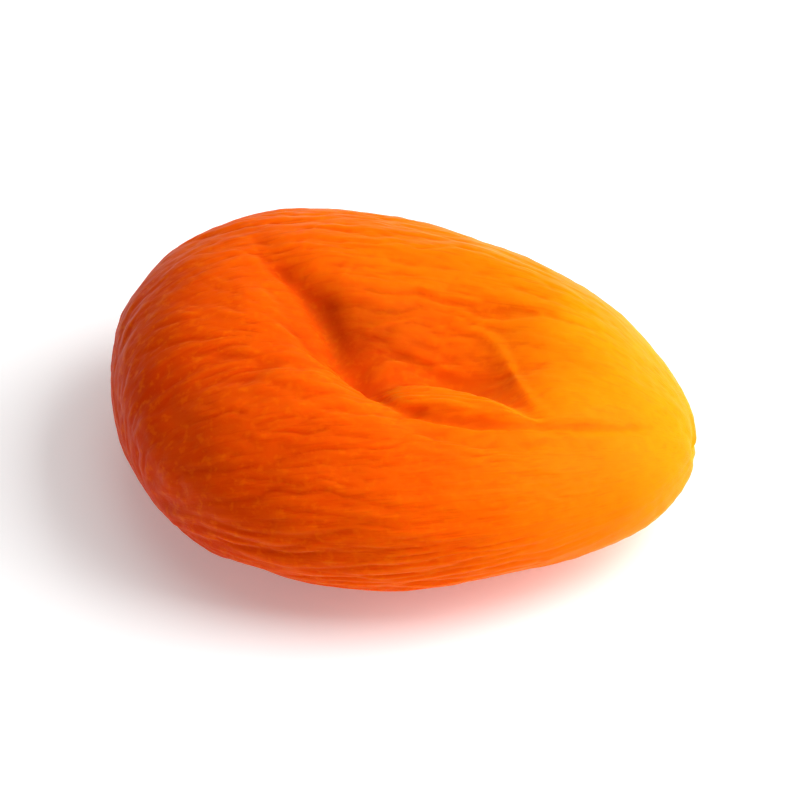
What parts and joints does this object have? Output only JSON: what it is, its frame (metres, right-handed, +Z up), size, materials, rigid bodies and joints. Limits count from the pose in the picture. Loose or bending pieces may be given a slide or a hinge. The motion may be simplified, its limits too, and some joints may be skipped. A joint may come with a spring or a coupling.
{
  "type": "dried apricot",
  "caption": "Whole pitted dried apricot: a plump oval disc of moist orange flesh with a puckered basin, a suture crease and a flat resting spot.",
  "frame": {"origin": "under the middle of the fruit's bounding box, on the surface that it rests on", "axes": "+X along the fruit from the broad stem end to the narrow tip, +Z up out of the face with the basin"},
  "size_m": [0.0368, 0.0302, 0.0131],
  "materials": {
    "apricot_skin": "moist, satin, translucent, finely wrinkled"
  },
  "bodies": {
    "root": {"dried_apricot": "apricot_skin"}
  },
  "joints": []
}
